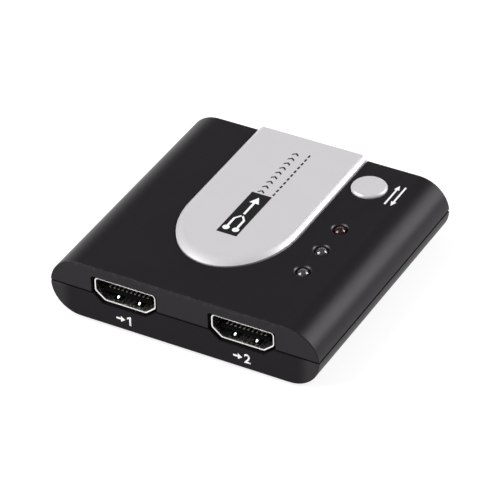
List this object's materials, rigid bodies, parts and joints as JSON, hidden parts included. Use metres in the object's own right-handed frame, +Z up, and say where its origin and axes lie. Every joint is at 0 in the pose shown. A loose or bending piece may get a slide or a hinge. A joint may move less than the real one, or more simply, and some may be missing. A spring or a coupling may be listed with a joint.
{
  "type": "video switch box",
  "caption": "Flat black two-shell switch box with rounded long sides, keyed video receptacles front and rear, a silver top plate, a push button and indicator lamps.",
  "frame": {"origin": "centre of the footprint, on the surface that the feet stand on", "axes": "+X to the right along the front face, +Y from the front face to the rear face, +Z up"},
  "size_m": [0.064, 0.0604, 0.016],
  "materials": {
    "case_black": "moulded, fine satin texture",
    "silver_paint": "silver paint with a fine metallic grain, satin",
    "screw_steel": "zinc plated",
    "foot_rubber": "matte",
    "board_green": "solder mask",
    "lamp_red": "clear tinted resin",
    "lamp_clear": "clear resin",
    "tin_lead": "tinned",
    "sleeve_steel": "stamped, nickel plated",
    "insulator_black": "moulded",
    "contact_gold": "gold flash",
    "dome_steel": "spring steel",
    "chip_black": "moulding compound",
    "can_aluminium": "drawn",
    "ceramic_tan": "fired ceramic"
  },
  "bodies": {
    "case": {"upper_shell": "case_black", "lower_shell": "case_black", "top_plate": "silver_paint", "case_screws": "screw_steel", "rubber_feet": "foot_rubber", "circuit_board": "board_green", "power_lamp": "lamp_red", "input_2_lamp": "lamp_clear", "input_1_lamp": "lamp_clear", "lamp_leads": "tin_lead", "tact_terminals": "tin_lead", "switch_chip_leads": "tin_lead", "memory_chip_leads": "tin_lead", "regulator_leads": "tin_lead", "input_1_sleeve": "sleeve_steel", "input_2_sleeve": "sleeve_steel", "output_sleeve": "sleeve_steel", "tact_cover": "sleeve_steel", "input_1_insulator": "insulator_black", "input_2_insulator": "insulator_black", "output_insulator": "insulator_black", "tact_base": "insulator_black", "input_1_contacts": "contact_gold", "input_2_contacts": "contact_gold", "output_contacts": "contact_gold", "tact_dome": "dome_steel", "switch_chip": "chip_black", "memory_chip": "chip_black", "regulator": "chip_black", "resistors": "chip_black", "bulk_capacitor": "can_aluminium", "ceramic_capacitors": "ceramic_tan"},
    "button": {"select_button": "silver_paint"},
    "plunger": {"tact_plunger": "insulator_black"}
  },
  "joints": [
    {"name": "button_press", "type": "slide", "parent": "case", "child": "button", "axis": [0, 0, -1], "range_m": [0, 0.0004], "stiffness_N_per_m": 2400},
    {"name": "plunger_press", "type": "slide", "parent": "case", "child": "plunger", "axis": [0, 0, -1], "range_m": [0, 0.0004], "deforming": ["tact_dome"]}
  ],
  "couplings": [
    {"joint": "plunger_press", "follows": "button_press", "ratio": 1}
  ]
}
